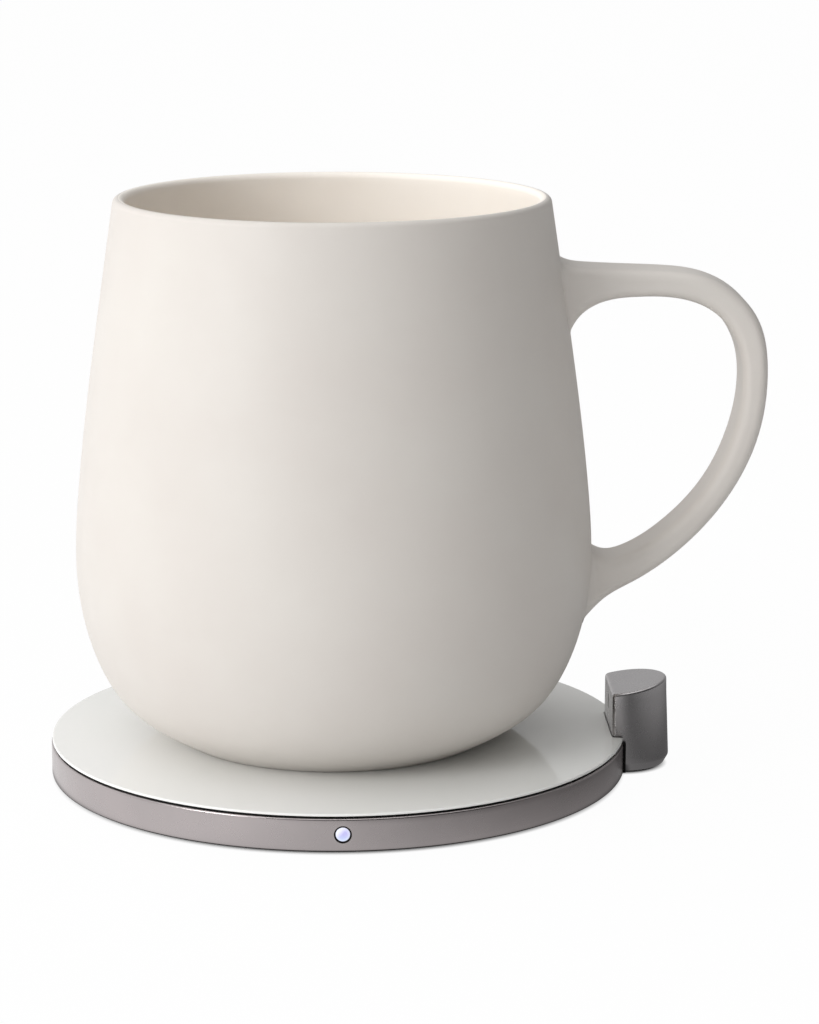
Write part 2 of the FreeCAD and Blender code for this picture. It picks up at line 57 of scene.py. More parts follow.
def clearSelection():
    if bpy.context.object and bpy.context.object.mode != "OBJECT":
        bpy.ops.object.mode_set(mode="OBJECT")
    bpy.ops.object.select_all(action="DESELECT")


def makeActive(piece):
    clearSelection()
    piece.select_set(True)
    bpy.context.view_layer.objects.active = piece


def startEdit(piece):
    makeActive(piece)
    bpy.ops.object.mode_set(mode="EDIT")
    bpy.ops.mesh.select_mode(type="VERT")


def endEdit():
    bpy.ops.object.mode_set(mode="OBJECT")


def settle(piece):
    # puts the object's place into its mesh
    makeActive(piece)
    bpy.ops.object.transform_apply(location=True, rotation=True, scale=True)


def smoothShade(piece, degrees):
    makeActive(piece)
    bpy.ops.object.shade_smooth_by_angle(angle=math.radians(degrees))


def tidyMesh(piece):
    startEdit(piece)
    bpy.ops.mesh.select_all(action="SELECT")
    bpy.ops.mesh.remove_doubles(threshold=weldReach)
    bpy.ops.mesh.normals_make_consistent(inside=False)
    endEdit()


def arcPoints(centre, radius, start, end, steps):
    # points of an arc in the outline's plane, its angles in degrees
    points = []
    for step in range(steps + 1):
        angle = math.radians(start + (end - start) * step / steps)
        points.append((centre[0] + radius * math.cos(angle), centre[1] + radius * math.sin(angle)))
    return points


def smoothLine(points, places):
    # a natural cubic line through the points, read at places counted in points: 2.5 is half way from 2 to 3
    knots = np.array(points, float)
    count = len(knots)
    spans = np.hypot(*np.diff(knots, axis=0).T)
    system = np.eye(count)
    bends = np.zeros((count, 2))
    for index in range(1, count - 1):
        system[index, index - 1] = spans[index - 1]
        system[index, index] = 2 * (spans[index - 1] + spans[index])
        system[index, index + 1] = spans[index]
        bends[index] = 6 * ((knots[index + 1] - knots[index]) / spans[index]
                            - (knots[index] - knots[index - 1]) / spans[index - 1])
    bends = np.linalg.solve(system, bends)
    line = []
    for place in places:
        index = min(int(place), count - 2)
        span = spans[index]
        near = (place - index) * span
        far = span - near
        line.append((bends[index] * far ** 3 + bends[index + 1] * near ** 3) / (6 * span)
                    + (knots[index] / span - bends[index] * span / 6) * far
                    + (knots[index + 1] / span - bends[index + 1] * span / 6) * near)
    return np.array(line)


def turnedPiece(name, outline, segments=256):
    # an outline of (radius, height) is drawn out from one vertex, then spun round the upright axis
    clearSelection()
    bpy.ops.mesh.primitive_plane_add(size=mm)
    piece = bpy.context.object
    piece.name = name
    piece.data.name = name
    startEdit(piece)
    bpy.ops.mesh.select_all(action="SELECT")
    bpy.ops.mesh.merge(type="CENTER")
    bpy.ops.transform.translate(value=(outline[0][0], 0, outline[0][1]))
    for here, there in zip(outline, outline[1:]):
        step = (there[0] - here[0], 0, there[1] - here[1])
        bpy.ops.mesh.extrude_region_move(TRANSFORM_OT_translate={"value": step})
    bpy.ops.mesh.select_all(action="SELECT")
    bpy.ops.mesh.spin(steps=segments, angle=2 * math.pi, center=(0, 0, 0), axis=(0, 0, 1))
    endEdit()
    tidyMesh(piece)
    return piece


def loftPiece(name, rings):
    # a filled circle is shaped to the first ring, then extruded ring by ring
    clearSelection()
    bpy.ops.mesh.primitive_circle_add(vertices=len(rings[0]), radius=mm, fill_type="NGON")
    piece = bpy.context.object
    piece.name = name
    piece.data.name = name
    startEdit(piece)
    cage = bmesh.from_edit_mesh(piece.data)
    order = cage.verts.layers.int.new("ringOrder")
    for index, vert in enumerate(cage.verts):
        vert[order] = index
        vert.co = rings[0][index]
    bmesh.update_edit_mesh(piece.data)
    bpy.ops.mesh.select_all(action="SELECT")
    for ring in rings[1:]:
        bpy.ops.mesh.extrude_region_move()
        cage = bmesh.from_edit_mesh(piece.data)
        order = cage.verts.layers.int["ringOrder"]
        for vert in cage.verts:
            if vert.select:
                vert.co = ring[vert[order]]
        bmesh.update_edit_mesh(piece.data)
    cage.verts.layers.int.remove(order)
    endEdit()
    tidyMesh(piece)
    return piece


def roundedBar(name, size, place, corner, direction="Y", segments=8):
    # a box with its edges along one direction rounded
    clearSelection()
    bpy.ops.mesh.primitive_cube_add(size=1, location=place)
    piece = bpy.context.object
    piece.name = name
    piece.scale = size
    settle(piece)
    axis = "XYZ".index(direction)
    startEdit(piece)
    bpy.ops.mesh.select_all(action="DESELECT")
    bpy.ops.mesh.select_mode(type="EDGE")
    cage = bmesh.from_edit_mesh(piece.data)
    for edge in cage.edges:
        span = edge.verts[0].co - edge.verts[1].co
        edge.select_set(abs(span[axis]) > 0.9 * span.length)
    bmesh.update_edit_mesh(piece.data)
    bpy.ops.mesh.bevel(offset=corner, segments=segments, affect="EDGES")
    endEdit()
    tidyMesh(piece)
    return piece


def rodAlongY(name, radius, start, end, height, segments=96):
    clearSelection()
    bpy.ops.mesh.primitive_cylinder_add(
        vertices=segments, radius=radius, depth=abs(end - start),
        location=(0, (start + end) / 2, height), rotation=(math.radians(90), 0, 0))
    piece = bpy.context.object
    piece.name = name
    settle(piece)
    return piece


def cutWith(piece, cutter):
    makeActive(piece)
    modifier = piece.modifiers.new("Cut", "BOOLEAN")
    modifier.operation = "DIFFERENCE"
    modifier.solver = "EXACT"
    modifier.object = cutter
    bpy.ops.object.modifier_apply(modifier=modifier.name)
    bpy.data.objects.remove(cutter)


# Materials

speckSpan = (0.62, 0.72)  # part of the speck noise that shows
wearSpan = (0.52, 0.60)  # part of the pointiness that counts as an edge
wearSize = 1.5 * mm
smudgeSize = 6 * mm


def srgb(red, green, blue):
    def linear(value):
        value = value / 255
        return value / 12.92 if value <= 0.04045 else ((value + 0.055) / 1.055) ** 2.4
    return (linear(red), linear(green), linear(blue), 1.0)


def addNode(tree, kind, inputs=None, **settings):
    node = tree.nodes.new(kind)
    for key, value in settings.items():
        setattr(node, key, value)
    for key, value in (inputs or {}).items():
        node.inputs[key].default_value = value
    return node


def noiseNode(tree, place, size, detail=3.0, roughness=0.55):
    # noise whose features are about as large as size, in metres
    node = addNode(tree, "ShaderNodeTexNoise",
                   {"Scale": 1 / size, "Detail": detail, "Roughness": roughness})
    tree.links.new(place, node.inputs["Vector"])
    return node.outputs["Fac"]


def rangeNode(tree, value, low, high, fromLow=0.3, fromHigh=0.7):
    node = addNode(tree, "ShaderNodeMapRange",
                   {"From Min": fromLow, "From Max": fromHigh, "To Min": low, "To Max": high})
    tree.links.new(value, node.inputs["Value"])
    return node.outputs["Result"]


def mixNode(tree, factor, first, second):
    node = addNode(tree, "ShaderNodeMix", data_type="RGBA")
    tree.links.new(factor, node.inputs["Factor"])
    for socket, colour in ((node.inputs[6], first), (node.inputs[7], second)):
        if isinstance(colour, tuple):
            socket.default_value = colour
        else:
            tree.links.new(colour, socket)
    return node.outputs[2]


def mathNode(tree, operation, first, second=None):
    node = addNode(tree, "ShaderNodeMath", operation=operation)
    for socket, value in zip(node.inputs, (first, second)):
        if isinstance(value, (int, float)):
            socket.default_value = value
        elif value is not None:
            tree.links.new(value, socket)
    return node.outputs[0]


def bumpNode(tree, height, distance, normal=None, strength=1.0):
    node = addNode(tree, "ShaderNodeBump", {"Strength": strength, "Distance": distance})
    tree.links.new(height, node.inputs["Height"])
    if normal:
        tree.links.new(normal, node.inputs["Normal"])
    return node.outputs["Normal"]


def surfaceMaterial(name, look):
    # colour that drifts between two tones, roughness that varies, and a fine and a broad bump
    material = bpy.data.materials.new(name)
    material.use_nodes = True
    tree = material.node_tree
    shader = tree.nodes["Principled BSDF"]
    place = addNode(tree, "ShaderNodeTexCoord").outputs["Object"]
    if "stretch" in look:
        # a grain that runs along one direction
        turn = addNode(tree, "ShaderNodeMapping")
        turn.inputs["Scale"].default_value = look["stretch"]
        tree.links.new(place, turn.inputs["Vector"])
        grainPlace = turn.outputs["Vector"]
    else:
        grainPlace = place
    drift = noiseNode(tree, place, look["driftSize"])
    colour = mixNode(tree, rangeNode(tree, drift, 0.0, 1.0), look["colour"], look["secondColour"])
    if "speckColour" in look:
        specks = noiseNode(tree, grainPlace, look["speckSize"], detail=1.0)
        amount = rangeNode(tree, specks, 0.0, look["speckAmount"], *speckSpan)
        colour = mixNode(tree, amount, colour, look["speckColour"])
    if "wearColour" in look:
        # edges rubbed a little lighter, found by how sharply the surface bends
        pointy = addNode(tree, "ShaderNodeNewGeometry").outputs["Pointiness"]
        rubbed = noiseNode(tree, place, wearSize, detail=4.0)
        edge = rangeNode(tree, pointy, 0.0, look["wearAmount"], *wearSpan)
        colour = mixNode(tree, mathNode(tree, "MULTIPLY", edge, rubbed), colour, look["wearColour"])
    tree.links.new(colour, shader.inputs["Base Color"])
    smudge = noiseNode(tree, place, look.get("smudgeSize", smudgeSize), detail=4.0)
    low, high = look["roughness"]
    tree.links.new(rangeNode(tree, smudge, low, high), shader.inputs["Roughness"])
    normal = None
    if "grainDepth" in look:
        grain = noiseNode(tree, grainPlace, look["grainSize"], detail=2.0)
        normal = bumpNode(tree, grain, look["grainDepth"])
    if "waveDepth" in look:
        wave = noiseNode(tree, place, look["waveSize"], detail=1.0)
        normal = bumpNode(tree, wave, look["waveDepth"], normal)
    if normal:
        tree.links.new(normal, shader.inputs["Normal"])
    shader.inputs["Metallic"].default_value = look.get("metallic", 0.0)
    shader.inputs["IOR"].default_value = look.get("ior", 1.5)
    for socket, value in look.get("sockets", {}).items():
        shader.inputs[socket].default_value = value
    return material


def dress(piece, material):
    piece.data.materials.clear()
    piece.data.materials.append(material)


def dressNodes(material, *nodes):
    # gives CAD nodes their finish in the slots they already have
    for node in nodes:
        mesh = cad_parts[node].data
        if len(mesh.materials) == 0:
            mesh.materials.append(material)
        for index in range(len(mesh.materials)):
            mesh.materials[index] = material


def finishPiece(piece, body, slot, material, *replaced):
    dress(piece, material)
    if replaced:
        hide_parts(*replaced)
    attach(piece, body)


# Camera, floor and light

cameraSetup = {
    "place": (-0.0066067, -0.540735, 0.1645747),
    "focalPixels": 3206.0,
    "imageHeight": 1024,
    "pitch": 0.217,
    "yaw": 0.0352173,
    "sensorWidth": 36.0,
    "clipStart": 0.01,
}


def placeCamera(setup):
    camera = bpy.data.cameras.new("photoCamera")
    camera.sensor_width = setup["sensorWidth"]
    camera.lens = setup["focalPixels"] / setup["imageHeight"] * camera.sensor_width
    camera.clip_start = setup["clipStart"]
    view = bpy.data.objects.new("photoCamera", camera)
    view.location = setup["place"]
    view.rotation_euler = (math.pi / 2 - setup["pitch"], 0.0, -setup["yaw"])
    bpy.context.scene.collection.objects.link(view)
    bpy.context.scene.camera = view


# Pairs of levels are a left and a right one, blended over the span they are used with. The room's spans
# are parts of a direction, and the floor's are places and distances in metres.
lightSetup = {
    "lamps": {
        "windowLamp": {"place": (-0.80, -0.66, 0.50), "size": (0.5, 0.5), "power": 5.0},
        "topLamp": {"place": (-0.10, 0.05, 1.00), "size": (0.8, 0.8), "power": 1.2},
    },
    "aim": (0.0, 0.0, 0.05),
    "sideSpan": (-0.9, 0.7),
    "fill": (1.30, 0.16),
    "mirrorBack": (1.0, 0.25),
    "mirrorFront": (0.15, 0.02),
    "frontToBack": (-0.5, 0.2),
    "mirrorTop": 0.9,
    "topSpan": (0.7, 0.9),
    "floorSize": 8.0,
    "floorColour": (0.88, 0.88, 0.88, 1),
    "floorRoughness": 0.8,
    "floorSeen": 0.97,
    "floorNear": (1.0, 0.15),
    "floorNearSpan": (-0.03, 0.062),
    "floorFar": (0.0, 0.45),
    "floorFarSpan": (0.05, 0.13),
    "postCentre": 49.85 * mm,
    "underPlate": (50.0 * mm, 51.5 * mm),
    "plateShadow": (48.2 * mm, 50.2 * mm),
    "postShadow": (6.4 * mm, 8.0 * mm),
}


def areaLamp(name, setup, aimPoint):
    lamp = bpy.data.lights.new(name, "AREA")
    lamp.shape = "RECTANGLE"
    lamp.size, lamp.size_y = setup["size"]
    lamp.energy = setup["power"]
    holder = bpy.data.objects.new(name, lamp)
    holder.location = setup["place"]
    aim = Vector(aimPoint) - Vector(setup["place"])
    holder.rotation_euler = aim.to_track_quat("-Z", "Y").to_euler()
    bpy.context.scene.collection.objects.link(holder)


def floatMix(tree, factor, first, second):
    node = addNode(tree, "ShaderNodeMix", data_type="FLOAT")
    for socket, value in zip((node.inputs[0], node.inputs[2], node.inputs[3]), (factor, first, second)):
        if isinstance(value, (int, float)):
            socket.default_value = value
        else:
            tree.links.new(value, socket)
    return node.outputs[0]


def bySight(tree, straight, mirrored, spread):
    # one value for the camera, one for reflections and clear surfaces, one for light that spreads
    path = addNode(tree, "ShaderNodeLightPath")
    shiny = mathNode(tree, "MAXIMUM", path.outputs["Is Glossy Ray"], path.outputs["Is Transmission Ray"])
    return floatMix(tree, path.outputs["Is Camera Ray"], floatMix(tree, shiny, spread, mirrored), straight)


def makeWorld(setup):
    # a white room, dimmer on the side away from the window
    world = bpy.data.worlds.new("studio")
    bpy.context.scene.world = world
    world.use_nodes = True
    tree = world.node_tree
    toward = addNode(tree, "ShaderNodeSeparateXYZ")
    tree.links.new(addNode(tree, "ShaderNodeTexCoord").outputs["Generated"], toward.inputs[0])
    fill = rangeNode(tree, toward.outputs["X"], *setup["fill"], *setup["sideSpan"])
    back = rangeNode(tree, toward.outputs["X"], *setup["mirrorBack"], *setup["sideSpan"])
    front = rangeNode(tree, toward.outputs["X"], *setup["mirrorFront"], *setup["sideSpan"])
    depth = rangeNode(tree, toward.outputs["Y"], 0.0, 1.0, *setup["frontToBack"])
    above = rangeNode(tree, toward.outputs["Z"], 0.0, setup["mirrorTop"], *setup["topSpan"])
    gloss = mathNode(tree, "ADD", floatMix(tree, depth, front, back), above)
    background = tree.nodes["Background"]
    background.inputs["Color"].default_value = (1, 1, 1, 1)
    tree.links.new(bySight(tree, 1.0, gloss, fill), background.inputs["Strength"])


def radiusNode(tree, place, offset):
    # distance from an upright axis that stands offset from the plate's own
    along = mathNode(tree, "ADD", place.outputs["X"], offset)
    squared = mathNode(tree, "ADD", mathNode(tree, "MULTIPLY", along, along),
                       mathNode(tree, "MULTIPLY", place.outputs["Y"], place.outputs["Y"]))
    return mathNode(tree, "SQRT", squared)


def makeFloor(setup):
    clearSelection()
    bpy.ops.mesh.primitive_plane_add(size=setup["floorSize"])
    floor = bpy.context.object
    floor.name = "floor"
    material = bpy.data.materials.new("paleFloor")
    material.use_nodes = True
    tree = material.node_tree
    shader = tree.nodes["Principled BSDF"]
    shader.inputs["Base Color"].default_value = setup["floorColour"]
    shader.inputs["Roughness"].default_value = setup["floorRoughness"]
    shader.inputs["Specular IOR Level"].default_value = 0.0
    place = addNode(tree, "ShaderNodeSeparateXYZ")
    tree.links.new(addNode(tree, "ShaderNodeTexCoord").outputs["Object"], place.inputs[0])
    # in the metal the floor's glow is a painted shadow: darker towards the mug's shadow side, light again
    # farther out, and black under the plate
    near = rangeNode(tree, place.outputs["X"], *setup["floorNear"], *setup["floorNearSpan"])
    far = rangeNode(tree, place.outputs["X"], *setup["floorFar"], *setup["floorFarSpan"])
    fromPlate = radiusNode(tree, place, 0.0)
    fromPost = radiusNode(tree, place, -setup["postCentre"])
    clear = rangeNode(tree, fromPlate, 0.0, 1.0, *setup["underPlate"])
    mirrored = mathNode(tree, "MULTIPLY", mathNode(tree, "MAXIMUM", near, far), clear)
    # under the plate and the post the floor shows only the light that reaches it
    shown = mathNode(tree, "MULTIPLY", rangeNode(tree, fromPlate, 0.0, 1.0, *setup["plateShadow"]),
                     rangeNode(tree, fromPost, 0.0, 1.0, *setup["postShadow"]))
    straight = mathNode(tree, "MULTIPLY", shown, setup["floorSeen"])
    glow = addNode(tree, "ShaderNodeEmission", {"Color": (1, 1, 1, 1)})
    tree.links.new(bySight(tree, 1.0, mirrored, 1.0), glow.inputs["Strength"])
    blend = addNode(tree, "ShaderNodeMixShader")
    tree.links.new(bySight(tree, straight, 1.0, 0.0), blend.inputs["Fac"])
    tree.links.new(shader.outputs["BSDF"], blend.inputs[1])
    tree.links.new(glow.outputs["Emission"], blend.inputs[2])
    tree.links.new(blend.outputs["Shader"], tree.nodes["Material Output"].inputs["Surface"])
    dress(floor, material)


placeCamera(cameraSetup)
for lampName, lampSetup in lightSetup["lamps"].items():
    areaLamp(lampName, lampSetup, lightSetup["aim"])
makeWorld(lightSetup)
makeFloor(lightSetup)
bpy.context.scene.view_settings.view_transform = "Standard"
print("camera, floor and light in place")


# Mug

mugShape = {
    "centre": -0.6,
    "height": 93.3,
    "lipCentre": 36.1,
    "lipRadius": 1.05,
    "floor": 5.2,
    "belly": [
        (27.0, 0.0), (31.0, 2.2), (36.2, 5.5), (39.8, 10.5), (42.7, 17.4), (44.7, 28.1),
        (44.3, 38.5), (42.85, 53.0), (40.45, 70.2), (38.4, 83.9), (37.15, 92.25)],
    "inside": [
        (35.05, 92.25), (35.9, 83.9), (37.9, 70.2), (40.2, 53.0), (41.5, 38.5),
        (41.7, 28.1), (39.7, 17.4), (36.0, 10.4), (30.0, 6.4), (22.0, 5.2)],
    "foot": [
        (0.0, 1.3), (23.1, 1.3), (23.55, 1.1), (23.75, 0.55), (23.95, 0.15), (24.35, 0.0), (26.5, 0.0)],
    "bellySteps": 10,
    "insideSteps": 8,
    "lipSteps": 14,
    "relaxRounds": 60,
    "floorEdge": 15.0,
    "insideReach": 42.1,
    "insideFrom": 4.7,
}
handleShape = {
    "width": 10.8,
    "edgeRound": 1.9,
    "cornerSteps": 8,
    "sideSteps": 6,
    "rootFillet": 1.3,
    "filletFade": 1.5,
    "leastReach": 1e-6,
    "filletRounds": 5,
    "rootSpans": 2,
    "rootSteps": 16,
    "spanSteps": 8,
    "outer": [
        (37.0, 83.6), (39.9, 81.9), (43.0, 81.4), (55.6, 80.8), (62.5, 79.9), (68.0, 77.3), (72.6, 71.7),
        (74.1, 64.2), (72.4, 51.0), (66.6, 39.9), (58.5, 31.4), (51.6, 26.7), (46.9, 24.0), (42.8, 19.8)],
    "inner": [
        (39.2, 67.6), (41.9, 73.1), (45.6, 75.4), (51.5, 76.3), (59.1, 75.9), (65.2, 73.2), (69.0, 67.4),
        (69.8, 61.0), (68.0, 51.6), (63.6, 42.8), (57.1, 35.9), (51.2, 32.0), (46.6, 31.0), (43.2, 33.0)],
}


def relaxed(line, rounds):
    # evens out the bends of a line and keeps its ends
    line = np.array(line)
    for _ in range(rounds):
        line[1:-1] = 0.25 * line[:-2] + 0.5 * line[1:-1] + 0.25 * line[2:]
    return line


def evenPlaces(count, steps):
    return [index / steps for index in range((count - 1) * steps + 1)]


bellyPlaces = evenPlaces(len(mugShape["belly"]), mugShape["bellySteps"])
bellyLine = relaxed(smoothLine(mugShape["belly"], bellyPlaces), mugShape["relaxRounds"])
insidePlaces = evenPlaces(len(mugShape["inside"]), mugShape["insideSteps"])
insideLine = smoothLine(mugShape["inside"], insidePlaces)


def makeMugBody():
    lip = arcPoints((mugShape["lipCentre"], mugShape["height"] - mugShape["lipRadius"]),
                    mugShape["lipRadius"], 0, 180, mugShape["lipSteps"])
    outline = mugShape["foot"] + [tuple(point) for point in bellyLine[:-1]] + lip
    outline += [tuple(point) for point in insideLine[1:]]
    outline += [(mugShape["floorEdge"], mugShape["floor"]), (0.0, mugShape["floor"])]
    outline = [(radius * mm, mugFoot + height * mm) for radius, height in outline]
    return turnedPiece("mugBody", outline)


def strapSection(thickness):
    # rounded oblong across the strap: (place from the inner face, place across) and its outward direction
    half = handleShape["width"] / 2
    corner = handleShape["edgeRound"]
    cornerSteps = handleShape["cornerSteps"]
    sideSteps = handleShape["sideSteps"]
    points = []
    for centre, start in (((thickness - corner, half - corner), 0), ((corner, half - corner), 90),
                          ((corner, corner - half), 180), ((thickness - corner, corner - half), 270)):
        for step in range(cornerSteps + 1):
            angle = math.radians(start + 90 * step / cornerSteps)
            direction = (math.cos(angle), math.sin(angle))
            points.append((centre[0] + corner * direction[0], centre[1] + corner * direction[1], direction))
    filled = []
    for index, point in enumerate(points):
        filled.append(point)
        if index % (cornerSteps + 1) == cornerSteps:
            after = points[(index + 1) % len(points)]
            for step in range(1, sideSteps):
                share = step / sideSteps
                filled.append((point[0] + (after[0] - point[0]) * share,
                               point[1] + (after[1] - point[1]) * share, point[2]))
    return filled


def strapRing(outer, inner):
    # one section of the strap; near the wall its sides flare out to meet it in a small fillet
    across = outer - inner
    thickness = float(np.hypot(*across))
    along = across / thickness
    fillet = handleShape["rootFillet"]
    ring = []
    for depth, side, direction in strapSection(thickness):
        base = np.array([inner[0] + along[0] * depth, side, inner[1] + along[1] * depth])
        outward = np.array([along[0] * direction[0], direction[1], along[1] * direction[0]])
        reach = fillet * abs(direction[1]) ** handleShape["filletFade"]
        point = base
        for _ in range(handleShape["filletRounds"]):
            wall = float(np.interp(point[2], bellyLine[:, 1], bellyLine[:, 0]))
            gap = math.hypot(point[0], point[1]) - wall
            share = min(max(1 - gap / max(reach, handleShape["leastReach"]), 0.0), 1.0)
            point = base + outward * reach * (1 - math.sqrt(1 - share * share))
        ring.append((point[0] * mm, point[1] * mm, mugFoot + point[2] * mm))
    return ring


def makeMugHandle():
    # sections stand closer near the two roots
    spans = len(handleShape["outer"]) - 1
    roots = handleShape["rootSpans"]
    places = []
    for index in range(spans):
        atRoot = index < roots or index >= spans - roots
        steps = handleShape["rootSteps"] if atRoot else handleShape["spanSteps"]
        places += [index + step / steps for step in range(steps)]
    places.append(spans)
    outer = smoothLine(handleShape["outer"], places)
    inner = smoothLine(handleShape["inner"], places)
    rings = [strapRing(outside, inside) for outside, inside in zip(outer, inner)]
    return loftPiece("mugHandle", rings)


mug = makeMugBody()
handle = makeMugHandle()
makeActive(mug)
handle.select_set(True)
bpy.ops.object.join()
mug.name = "mugWithHandle"
mug.data.name = "mugWithHandle"
mug.location.x = mugShape["centre"] * mm
settle(mug)
smoothShade(mug, 40.0)

mugLook = {
    "colour": srgb(217, 212, 206), "secondColour": srgb(214, 208, 202), "driftSize": 18 * mm,
    "roughness": (0.46, 0.54), "smudgeSize": 9 * mm,
    "grainSize": 0.35 * mm, "grainDepth": 0.006 * mm, "waveSize": 14 * mm, "waveDepth": 0.04 * mm,
}
mugGlaze = surfaceMaterial("mugGlaze", mugLook)
# a lighter copy of the outside glaze: painted light for the mug's inside
litInsideLook = dict(mugLook)
litInsideLook.update({"colour": srgb(251, 245, 237), "secondColour": srgb(249, 242, 233)})
litInsideGlaze = surfaceMaterial("mugInsideLitGlaze", litInsideLook)


def lightenInside(piece, material):
    # a lighter copy of the glaze, painted light that brightens the mug's inside, goes on the faces that
    # look at the mug's own axis, and on its floor
    piece.data.materials.append(material)
    axis = Vector((mugShape["centre"] * mm, 0, 0))
    startEdit(piece)
    bpy.ops.mesh.select_all(action="DESELECT")
    bpy.ops.mesh.select_mode(type="FACE")
    cage = bmesh.from_edit_mesh(piece.data)
    for face in cage.faces:
        middle = face.calc_center_median()
        outwards = (middle - axis) * Vector((1, 1, 0))
        inner = outwards.length < mugShape["insideReach"] * mm and face.normal.dot(outwards) <= 0
        face.select_set(inner and middle.z > mugFoot + mugShape["insideFrom"] * mm)
    bmesh.update_edit_mesh(piece.data)
    piece.active_material_index = 1
    bpy.ops.object.material_slot_assign()
    endEdit()


finishPiece(mug, "mug", "mug_ceramic", mugGlaze, "mug")
lightenInside(mug, litInsideGlaze)
print("mug modelled")


# Warming plate: metal rim, glass and what shows between them

plateShape = {
    "segments": 384,
    "rimWall": 1.4,
    "rimTop": 6.02,
    "rimBottom": 0.5,
    "rimBevel": 0.3,
    "bevelSteps": 4,
    "footInset": 0.75,
    "sideInset": 1.2,
    "seatChamfer": 0.1,
    "ledgeTop": 4.6,
    "ledgeBottom": 3.9,
    "seatWall": 1.0,
    "ledgeInner": 46.0,
    "glassRadius": 49.85,
    "glassBottom": 4.8,
    "glassTop": 6.8,
    "glassLip": 0.4,
    "glassBody": 48.6,
    "glassNeck": 49.1,
    "glassRound": 0.22,
    "glassSteps": 10,
    "bodyChamfer": 0.2,
    "neckHeight": 0.5,
    "lipChamfer": 0.06,
    "topInsets": (0.6, 3.0),
    "topMiddle": 25.0,
    "lensHeight": 3.4,
    "lensBore": 1.45,
    "boreSpan": (-51.0, -45.0),
}
postShape = {
    "centre": 49.85,
    "radius": 8.2,
    "topRadius": 7.6,
    "flat": 47.4,
    "lowSide": 14.2,
    "slope": 0.16,
    "cornerRound": 0.8,
    "leastCorner": 0.25,
    "edgeRound": 0.5,
    "footBevel": 0.8,
    "footBevelHeight": 1.4,
    "wall": 1.4,
    "flatGap": 0.12,
    "sideGap": 0.60,
    "notchSpan": (0.01, 12.0),
    "windowSize": (2.24, 2.34),
    "windowHeight": 11.1,
    "windowDepth": 3.0,
    "windowMiddle": 47.9,
    "windowCorner": 0.17,
    "footRings": [(0.15, 0.0), (0.0, 0.06), (-0.06, 0.16)],
    "bendRings": [(0.10, -0.18), (0.03, -0.02), (0.0, 0.16)],
    "hollowBelow": 1.0,
    "sideStop": 1.2,
    "sideSteps": 11,
    "edgeSteps": 8,
    "topStrip": 0.25,
}
inletShape = {
    "height": 2.95,
    "mouth": 49.55,
    "landing": (11.2, 4.3),
    "pocket": (8.98, 3.30),
    "depth": 7.37,
    "landingReach": 3.0,
    "pocketReach": 10.0,
    "corner": 1.6,
}


def postContour(radius, flat, corner, arcSteps=120, cornerSteps=10, flatSteps=16):
    # the post seen from above: a circle with a flat towards the mug, its two corners rounded
    centreX = flat + corner
    reach = radius - corner
    centreY = math.sqrt(reach ** 2 - (centreX - postShape["centre"]) ** 2)
    turn = math.degrees(math.atan2(centreY, centreX - postShape["centre"]))
    contour = arcPoints((postShape["centre"], 0), radius, -turn, turn, arcSteps)[:-1]
    contour += arcPoints((centreX, centreY), corner, turn, 180, cornerSteps)[:-1]
    contour += [(flat, centreY * (1 - 2 * step / flatSteps)) for step in range(flatSteps)]
    contour += arcPoints((centreX, -centreY), corner, 180, 360 - turn, cornerSteps)[:-1]
    return contour


def postRing(shrink, drop, level=None, flatGap=0.0):
    # one ring of the post: level is a plain height, otherwise the ring lies below the sloping top by drop
    lowRadius = postShape["radius"] - shrink
    topRadius = postShape["topRadius"] - shrink
    flat = postShape["flat"] + flatGap
    height = level if level is not None else postShape["lowSide"]
    radius = lowRadius - (lowRadius - topRadius) * height / postShape["lowSide"]
    ring = []
    corner = max(postShape["cornerRound"] - max(flatGap, 0.0), postShape["leastCorner"])
    for x, y in postContour(radius, flat, corner):
        z = level
        if level is None:
            z = postShape["lowSide"] + postShape["slope"] * (x - postShape["flat"]) - drop
        ring.append((x * mm, y * mm, z * mm))
    return ring


def makePost():
    bottom = plateShape["rimBottom"]
    bevel = postShape["footBevel"]
    bevelTop = bottom + postShape["footBevelHeight"]
    edge = postShape["edgeRound"]
    # the bevel's two bends are small curves, each of three rings that lie inwards and upwards of the bend
    rings = [postRing(bevel + inwards, 0, bottom + upwards) for inwards, upwards in postShape["footRings"]]
    rings += [postRing(inwards, 0, bevelTop + upwards) for inwards, upwards in postShape["bendRings"]]
    sideStart = bevelTop + postShape["bendRings"][-1][1]
    rise = postShape["lowSide"] - postShape["sideStop"] - bevelTop
    for step in range(1, postShape["sideSteps"] + 1):
        rings.append(postRing(0.0, 0, sideStart + rise * step / postShape["sideSteps"]))
    for step in range(postShape["edgeSteps"] + 1):
        angle = math.radians(90 * step / postShape["edgeSteps"])
        inset = edge * (1 - math.cos(angle))
        rings.append(postRing(inset, edge * (1 - math.sin(angle)), flatGap=inset))
    inset = edge + postShape["topStrip"]
    rings.append(postRing(inset, 0.0, flatGap=inset))
    post = loftPiece("postShell", rings)
    wall = postShape["wall"]
    hollow = [postRing(wall, 0, bottom - postShape["hollowBelow"], flatGap=wall),
              postRing(wall, wall, flatGap=wall)]
    cutWith(post, loftPiece("postHollow", hollow))
    width, height = postShape["windowSize"]
    hole = roundedBar("windowHole", (postShape["windowDepth"] * mm, width * mm, height * mm),
                      (postShape["windowMiddle"] * mm, 0, postShape["windowHeight"] * mm),
                      postShape["windowCorner"] * mm, "X", 5)
    cutWith(post, hole)
    return post


def makeNotch():
    # space that the post takes out of the plate
    gap = postShape["sideGap"]
    rings = [postRing(-gap, 0, level, flatGap=-postShape["flatGap"]) for level in postShape["notchSpan"]]
    return loftPiece("postNotch", rings)


def inletCutter(name, size, start, length):
    return roundedBar(name, (size[0] * mm, length * mm, size[1] * mm),
                      (0, (start + length / 2) * mm, inletShape["height"] * mm),
                      inletShape["corner"] * mm, "Y", 8)


